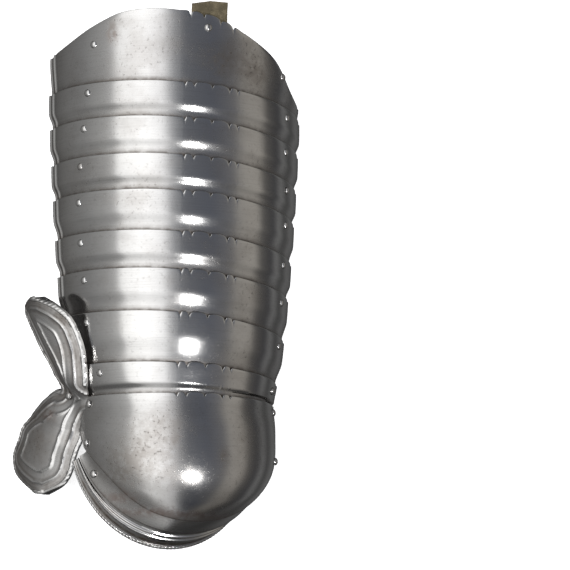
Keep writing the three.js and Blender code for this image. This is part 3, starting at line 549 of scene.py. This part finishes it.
def wing():
    down, across = np.meshgrid(np.linspace(0, 1, 190), np.linspace(1, 0, 84), indexing="ij")
    points, raised, back, up = wing_sheet(down, across)
    step = 0.004
    lower, upper = np.clip(down + step, 0, 1), np.clip(down - step, 0, 1)
    rear, front = np.clip(across + step, 0, 1), np.clip(across - step, 0, 1)
    along = wing_sheet(lower, across)[0] - wing_sheet(upper, across)[0]
    over = wing_sheet(down, rear)[0] - wing_sheet(down, front)[0]
    outward = unit(np.cross(over, along))
    inset = wing_outline_distance(back, up)
    rim = np.sqrt(np.clip(1 - ((inset - 1.5) / 1.7) ** 2, 0, 1))
    twist = 0.26 * np.sin((back * 0.9 + up * 1.25) * 1.45) * rim
    line = lambda inset_by, half_width: np.exp(-(((inset - inset_by) / half_width) ** 2))
    ridges = sum(line(inset_by, 1.0) for inset_by in WING_RIDGES)
    relief = 1.2 * rim + twist + 0.95 * ridges
    outer = points + outward * (raised + relief)[..., None]
    inner = points + outward * (raised - PLATE - 0.5 * rim)[..., None]
    # painted shade: darkens the valleys beside the wing's rim and ridges, carried in the lap mark
    valley = sum(line(inset_by, half_width) for inset_by, half_width in WING_VALLEYS)
    uv = np.stack([back, up], -1) / 1000
    return outer, inner, {"lap": 0.6 * valley, "wear": ridges + rim, "groove": 0 * back}, uv


# ---------------------------------------------------------------- shader helpers
class Net:
    """Writes shader nodes with short calls."""

    def __init__(self, tree):
        self.tree = tree

    def node(self, kind, **settings):
        made = self.tree.nodes.new(kind)
        for key, value in settings.items():
            setattr(made, key, value)
        return made

    def link(self, source, target):
        self.tree.links.new(source, target)

    def put(self, socket, value):
        if isinstance(value, bpy.types.NodeSocket):
            self.link(value, socket)
        else:
            socket.default_value = value

    def math(self, operation, a, b=0.0, clamp=False):
        made = self.node("ShaderNodeMath", operation=operation, use_clamp=clamp)
        self.put(made.inputs[0], a)
        self.put(made.inputs[1], b)
        return made.outputs[0]

    def mark(self, name):
        return self.node("ShaderNodeAttribute", attribute_name=name).outputs["Fac"]

    def noise(self, vector, scale, detail=3.0, rough=0.55):
        made = self.node("ShaderNodeTexNoise")
        self.put(made.inputs["Vector"], vector)
        made.inputs["Scale"].default_value = scale
        made.inputs["Detail"].default_value = detail
        made.inputs["Roughness"].default_value = rough
        return made.outputs["Fac"]

    def stretch(self, vector, x, y, z=1.0):
        made = self.node("ShaderNodeMapping")
        self.put(made.inputs["Vector"], vector)
        made.inputs["Scale"].default_value = (x, y, z)
        return made.outputs["Vector"]

    def remap(self, value, low, high, to_low=0.0, to_high=1.0):
        made = self.node("ShaderNodeMapRange", interpolation_type="SMOOTHSTEP")
        self.put(made.inputs["Value"], value)
        made.inputs["From Min"].default_value = low
        made.inputs["From Max"].default_value = high
        made.inputs["To Min"].default_value = to_low
        made.inputs["To Max"].default_value = to_high
        return made.outputs["Result"]

    def mix(self, factor, a, b):
        made = self.node("ShaderNodeMix", data_type="RGBA")
        self.put(made.inputs["Factor"], factor)
        self.put(made.inputs["A"], a)
        self.put(made.inputs["B"], b)
        return made.outputs["Result"]


def steel_group():
    """Worn polished steel: colour, roughness and height from the marks on the plates."""
    group = bpy.data.node_groups.new("worn_steel", "ShaderNodeTree")
    face = group.interface
    for name, value in (("Patina", 0.35), ("Brushing", 1.0), ("Shine", 0.2)):
        socket = face.new_socket(name, in_out="INPUT", socket_type="NodeSocketFloat")
        socket.default_value = value
    face.new_socket("Color", in_out="OUTPUT", socket_type="NodeSocketColor")
    face.new_socket("Roughness", in_out="OUTPUT", socket_type="NodeSocketFloat")
    face.new_socket("Height", in_out="OUTPUT", socket_type="NodeSocketFloat")
    net = Net(group)
    given = net.node("NodeGroupInput")
    out = net.node("NodeGroupOutput")
    flat = net.node("ShaderNodeUVMap", uv_map="leg_map").outputs["UV"]
    solid = net.node("ShaderNodeTexCoord").outputs["Object"]
    brushing = net.noise(net.stretch(flat, 60, 2600), 1.0, 3.0, 0.6)
    scratches = net.noise(net.stretch(flat, 25, 900), 1.0, 6.0, 0.7)
    blotch = net.noise(solid, 26, 5.0, 0.6)
    clouds = net.noise(solid, 9, 3.0, 0.5)
    specks = net.noise(solid, 420, 4.0, 0.6)
    wide_specks = net.noise(solid, 150, 4.0, 0.65)
    stain = net.mark("stain")
    rust = net.mark("rust")
    lap = net.mark("lap")
    groove = net.mark("groove")
    wear = net.mark("wear")
    tarnish = net.math("MULTIPLY", net.remap(blotch, 0.42, 0.7), given.outputs["Patina"])
    stained = net.math("MULTIPLY", stain, net.remap(wide_specks, 0.3, 0.62, 0.35, 1.0))
    tarnish = net.math("ADD", tarnish, stained, clamp=True)
    tarnish = net.math("SUBTRACT", tarnish, net.math("MULTIPLY", wear, 0.5), clamp=True)
    pitted = net.math("ADD", net.math("MULTIPLY", tarnish, 0.8), 0.12)
    pits = net.math("MULTIPLY", net.remap(specks, 0.57, 0.68), pitted, clamp=True)
    clean = net.mix(net.remap(clouds, 0.35, 0.65), (0.62, 0.615, 0.605, 1), (0.54, 0.535, 0.53, 1))
    clean = net.mix(net.math("MULTIPLY", net.remap(scratches, 0.45, 0.75), 0.35), clean, (0.4, 0.39, 0.38, 1))
    color = net.mix(net.math("MULTIPLY", tarnish, 0.75), clean, (0.2, 0.165, 0.135, 1))
    color = net.mix(net.math("MULTIPLY", pits, 0.8), color, (0.07, 0.055, 0.045, 1))
    # painted shade: a dark brown laid over the plates by the lap and groove marks, just above edges that
    # overlap them, beside the wing's ridges and along the border's sunk groove
    corners = net.math("ADD", net.math("MULTIPLY", lap, 0.9), net.math("MULTIPLY", groove, 0.35))
    painted_shade = net.math("MULTIPLY", corners, net.remap(wide_specks, 0.25, 0.6, 0.5, 1.0), clamp=True)
    color = net.mix(painted_shade, color, (0.085, 0.062, 0.045, 1))
    rusty = net.math("MULTIPLY", rust, net.remap(wide_specks, 0.3, 0.6))
    color = net.mix(rusty, color, (0.16, 0.062, 0.03, 1))
    net.link(color, out.inputs["Color"])
    streaks = net.math("MULTIPLY", net.math("SUBTRACT", brushing, 0.5), 0.1)
    rough = net.math("ADD", given.outputs["Shine"], streaks)
    rough = net.math("ADD", rough, net.math("MULTIPLY", tarnish, 0.22))
    rough = net.math("ADD", rough, net.math("MULTIPLY", painted_shade, 0.3))
    rough = net.math("ADD", rough, net.math("MULTIPLY", net.math("ADD", pits, rust), 0.25), clamp=True)
    net.link(rough, out.inputs["Roughness"])
    height = net.math("MULTIPLY", net.math("MULTIPLY", brushing, given.outputs["Brushing"]), 0.0000035)
    height = net.math("ADD", height, net.math("MULTIPLY", scratches, 0.000003))
    height = net.math("ADD", height, net.math("MULTIPLY", pits, -0.00005))
    height = net.math("ADD", height, net.math("MULTIPLY", net.noise(solid, 38, 2.0, 0.5), 0.00011))
    net.link(height, out.inputs["Height"])
    return group


def steel_material(name, group, patina, brushing, shine):
    material = bpy.data.materials.new(name)
    material.use_nodes = True
    net = Net(material.node_tree)
    shader = material.node_tree.nodes["Principled BSDF"]
    worn = net.node("ShaderNodeGroup")
    worn.node_tree = group
    worn.inputs["Patina"].default_value = patina
    worn.inputs["Brushing"].default_value = brushing
    worn.inputs["Shine"].default_value = shine
    shader.inputs["Metallic"].default_value = 1.0
    net.link(worn.outputs["Color"], shader.inputs["Base Color"])
    net.link(worn.outputs["Roughness"], shader.inputs["Roughness"])
    bump = net.node("ShaderNodeBump")
    bump.inputs["Distance"].default_value = 1.0
    bump.inputs["Strength"].default_value = 1.0
    net.link(worn.outputs["Height"], bump.inputs["Height"])
    net.link(bump.outputs["Normal"], shader.inputs["Normal"])
    return material


def leather_material():
    material = bpy.data.materials.new("aged_leather")
    material.use_nodes = True
    net = Net(material.node_tree)
    shader = material.node_tree.nodes["Principled BSDF"]
    solid = net.node("ShaderNodeTexCoord").outputs["Object"]
    grain = net.noise(solid, 900, 4.0, 0.6)
    blotch = net.noise(solid, 90, 4.0, 0.6)
    color = net.mix(net.remap(blotch, 0.35, 0.7), (0.075, 0.062, 0.036, 1), (0.17, 0.14, 0.085, 1))
    color = net.mix(net.math("MULTIPLY", net.remap(grain, 0.5, 0.7), 0.4), color, (0.03, 0.024, 0.015, 1))
    net.link(color, shader.inputs["Base Color"])
    shader.inputs["Roughness"].default_value = 0.78
    bump = net.node("ShaderNodeBump")
    bump.inputs["Distance"].default_value = 0.0004
    net.link(grain, bump.inputs["Height"])
    net.link(bump.outputs["Normal"], shader.inputs["Normal"])
    return material


# ---------------------------------------------------------------- marks from the photo
# Brown or dark patina: centre and reach in the photo's pixels, and strength
STAINS = [
    (112, 30, 6, 11, 0.8), (128, 22, 12, 5, 0.3), (225, 62, 26, 24, 0.55), (258, 70, 20, 22, 0.45),
    (180, 48, 26, 12, 0.28), (150, 455, 42, 30, 0.5), (120, 470, 22, 26, 0.55),
    (190, 478, 30, 18, 0.35), (224, 457, 5, 9, 0.9), (250, 430, 16, 40, 0.3), (178, 440, 9, 6, 0.45),
    (160, 420, 34, 12, 0.3), (60, 330, 10, 20, 0.35), (48, 415, 9, 8, 0.75), (38, 450, 18, 26, 0.4),
    (235, 130, 22, 8, 0.25), (120, 200, 30, 6, 0.2), (245, 300, 18, 14, 0.25), (95, 520, 14, 20, 0.45),
    (150, 545, 40, 8, 0.4),
]
RUSTS = [
    (150, 512, 40, 5, 0.5), (120, 498, 16, 6, 0.5), (200, 516, 26, 4, 0.4), (49, 415, 6, 5, 0.6),
    (112, 36, 4, 8, 0.35),
]


def painted(points, spots):
    px, py = photo_pixel(points)
    total = np.zeros(px.shape)
    for x, y, rx, ry, strength in spots:
        total += strength * np.exp(-(((px - x) / rx) ** 2) - ((py - y) / ry) ** 2)
    return np.clip(total, 0, 1)


PLATE_CREASE = 38.0  # degrees from which an edge is drawn sharp
RIVET_CREASE = 40.0
worn_steel = steel_group()
plate_steel = steel_material("polished_steel", worn_steel, 0.3, 1.0, 0.17)
wing_steel = steel_material("dark_steel", worn_steel, 0.6, 0.6, 0.26)
rivet_steel = steel_material("rivet_steel", worn_steel, 0.45, 0.2, 0.24)
leather = leather_material()


def add_plate(name, body, node, shape, material):
    outer, inner, marks, uv = shape
    outer = to_row(outer)
    inner = to_row(inner)
    marks["stain"] = painted(outer, STAINS)
    marks["rust"] = painted(outer, RUSTS)
    obj = make_mesh(name, outer, inner, marks, uv)
    obj.data.materials.append(material)
    sharp_edges(obj, PLATE_CREASE)
    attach(obj, body)
    if node:
        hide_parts(node)


add_plate("top_plate", "top", "thigh_top_plate", thigh_plate(0), plate_steel)
for k in range(1, 9):
    add_plate(f"lame_plate_{k}", f"lame_{k}", f"thigh_lame_{k}", thigh_plate(k), plate_steel)
add_plate("knee_cap", "knee", "knee_plate", knee_plate(), plate_steel)
add_plate("side_wing", "knee", None, wing(), wing_steel)
add_plate("first_knee_lame", "knee_lame_1", "knee_lame_1", knee_lame(False), plate_steel)
add_plate("last_knee_lame", "knee_lame_2", "knee_lame_2", knee_lame(True), plate_steel)


# ---------------------------------------------------------------- rivets
RIVET_RADIUS = 3.1
RIVET_HEIGHT = 2.2
RIVET_SEAT = 0.3  # air under the head
RIVET_SHOULDER = 0.15
RIVET_STEM = [(1.4, -3.0), (2.5, -3.15), (2.3, -4.0), (0, -4.3)]  # radius and height, down to the tail


def rivet(name, body, node, seat, way):
    """A domed head with a small shoulder, on a shank with a hammered tail."""
    profile = [(0, RIVET_SEAT + RIVET_HEIGHT)]
    for i in range(1, 9):
        turn = math.pi / 2 * i / 8
        height = RIVET_SEAT + RIVET_SHOULDER + (RIVET_HEIGHT - RIVET_SHOULDER) * math.cos(turn)
        profile.append((RIVET_RADIUS * math.sin(turn), height))
    profile += [(RIVET_RADIUS * 0.97, RIVET_SEAT), (RIVET_STEM[0][0], RIVET_SEAT)] + RIVET_STEM
    sides = 28
    points, faces = [], []
    for r, h in profile:
        for s in range(sides):
            turn = 2 * math.pi * s / sides
            points.append((r * math.cos(turn) / 1000, r * math.sin(turn) / 1000, h / 1000))
    for j in range(len(profile) - 1):
        for s in range(sides):
            a = j * sides + s
            b = j * sides + (s + 1) % sides
            faces.append((a, a + sides, b + sides, b))
    mesh = bpy.data.meshes.new(name)
    mesh.from_pydata(points, [], faces)
    mesh.validate()
    mesh.shade_smooth()
    obj = bpy.data.objects.new(name, mesh)
    bpy.context.scene.collection.objects.link(obj)
    turn = Vector((0, 0, 1)).rotation_difference(Vector(way))
    mesh.transform(turn.to_matrix().to_4x4())
    place = Vector(seat) / 1000
    for vertex in mesh.vertices:
        vertex.co += place
    for label in ("stain", "rust", "lap", "groove", "wear"):
        mesh.attributes.new(label, "FLOAT", "POINT")
    mesh.uv_layers.new(name="leg_map")
    mesh.materials.append(rivet_steel)
    sharp_edges(obj, RIVET_CREASE)
    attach(obj, body)
    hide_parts(node)


for name, body, *numbers in RIVETS:
    rivet(f"{name}_head", body, name, numbers[:3], numbers[3:])

# ---------------------------------------------------------------- strap
strap_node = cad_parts["hanging_strap"]
strap_mesh = strap_node.data.copy()
strap_mesh.name = "leather_strap_end"
strap_mesh.materials.clear()
strap_mesh.materials.append(leather)
strap = bpy.data.objects.new("leather_strap_end", strap_mesh)
bpy.context.scene.collection.objects.link(strap)
bevel = strap.modifiers.new("edge", "BEVEL")
bevel.width = 0.0005
bevel.segments = 3
bevel.limit_method = "ANGLE"
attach(strap, "top")
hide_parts("hanging_strap")


# ---------------------------------------------------------------- floor, surroundings and camera
def floor_material():
    material = bpy.data.materials.new("pale_floor")
    material.use_nodes = True
    shader = material.node_tree.nodes["Principled BSDF"]
    shader.inputs["Base Color"].default_value = (0.9, 0.9, 0.9, 1)
    shader.inputs["Roughness"].default_value = 0.9
    shader.inputs["Specular IOR Level"].default_value = 0.0
    shader.inputs["Emission Color"].default_value = (1, 1, 1, 1)
    shader.inputs["Emission Strength"].default_value = 0.72
    return material


bpy.ops.mesh.primitive_plane_add(size=30, location=(0, 0, -0.0005))
floor = bpy.context.active_object
floor.name = "floor"
floor.data.materials.append(floor_material())
floor.visible_glossy = False

# What the steel reflects: brightness by the angle round the leg, from straight up, negative to the left
SKY = [
    (-180, 0.05, 0.05, 0.052), (-140, 0.10, 0.098, 0.095), (-112, 0.2, 0.198, 0.195),
    (-84, 0.30, 0.30, 0.30), (-62, 0.46, 0.46, 0.455), (-50, 0.62, 0.62, 0.615),
    (-45, 1.55, 1.55, 1.54), (-22, 1.9, 1.9, 1.9), (-4, 1.5, 1.5, 1.52), (4, 0.55, 0.56, 0.58),
    (14, 0.17, 0.18, 0.205), (40, 0.13, 0.14, 0.17), (60, 0.2, 0.2, 0.21), (70, 0.42, 0.4, 0.37),
    (88, 0.44, 0.415, 0.38), (96, 0.12, 0.115, 0.11), (112, 0.06, 0.06, 0.065), (122, 0.22, 0.22, 0.22),
    (134, 0.07, 0.07, 0.07), (150, 0.16, 0.16, 0.16), (180, 0.05, 0.05, 0.052),
]


def surroundings():
    world = bpy.data.worlds.new("studio")
    bpy.context.scene.world = world
    world.use_nodes = True
    net = Net(world.node_tree)
    back = world.node_tree.nodes["Background"]
    way = net.node("ShaderNodeTexCoord").outputs["Generated"]
    split = net.node("ShaderNodeSeparateXYZ")
    net.link(way, split.inputs[0])
    turn = net.math("ARCTAN2", split.outputs["X"], split.outputs["Z"])
    place = net.math("ADD", net.math("DIVIDE", turn, 2 * math.pi), 0.5)
    ramp = net.node("ShaderNodeValToRGB")
    net.link(place, ramp.inputs["Fac"])
    stops = ramp.color_ramp.elements
    stops[0].position = 0.0
    stops[1].position = 1.0
    for degrees, *_ in SKY[1:-1]:
        stops.new(degrees / 360 + 0.5)
    for stop, (degrees, r, g, b) in zip(stops, SKY):
        stop.color = (r, g, b, 1)
    # the ends of the room are dimmer, so that the knee keeps its shape
    end = net.remap(split.outputs["Y"], -0.95, -0.2, 0.42, 1.0)
    far = net.remap(split.outputs["Y"], 0.45, 0.98, 1.0, 0.5)
    strength = net.math("MULTIPLY", end, far)
    net.link(ramp.outputs["Color"], back.inputs["Color"])
    net.link(strength, back.inputs["Strength"])


surroundings()


def area(name, place, aim, size, energy, color=(1, 1, 1)):
    data = bpy.data.lights.new(name, "AREA")
    data.shape = "RECTANGLE"
    data.size, data.size_y = size
    data.energy = energy
    data.color = color
    obj = bpy.data.objects.new(name, data)
    bpy.context.scene.collection.objects.link(obj)
    obj.location = place
    obj.rotation_euler = (Vector(aim) - Vector(place)).to_track_quat("-Z", "Y").to_euler()
    obj.visible_camera = False
    return obj


soft = area("soft_top", (-0.6, 0.1, 2.4), (0, 0, 0), (1.2, 1.6), 28)
soft.visible_glossy = False
area("small_window", (0.42, -0.62, 1.05), (0.0, -0.14, 0.08), (0.1, 0.13), 5.5)

camera_data = bpy.data.cameras.new("photo_camera")
camera = bpy.data.objects.new("photo_camera", camera_data)
bpy.context.scene.collection.objects.link(camera)
rise = math.radians(VIEW_ELEVATION)
target = Vector(VIEW_CENTER) / 1000
toward = Vector((0, -math.cos(rise), math.sin(rise)))
camera.location = target + toward * VIEW_DISTANCE
camera.rotation_euler = (-toward).to_track_quat("-Z", "Y").to_euler()
camera_data.sensor_width = 36
camera_data.lens = 36 * VIEW_DISTANCE / (570 * PIXEL / 1000)
camera_data.clip_end = 50
camera_data.dof.use_dof = False
bpy.context.scene.camera = camera
bpy.context.scene.view_settings.view_transform = "Standard"
bpy.context.scene.view_settings.look = "None"

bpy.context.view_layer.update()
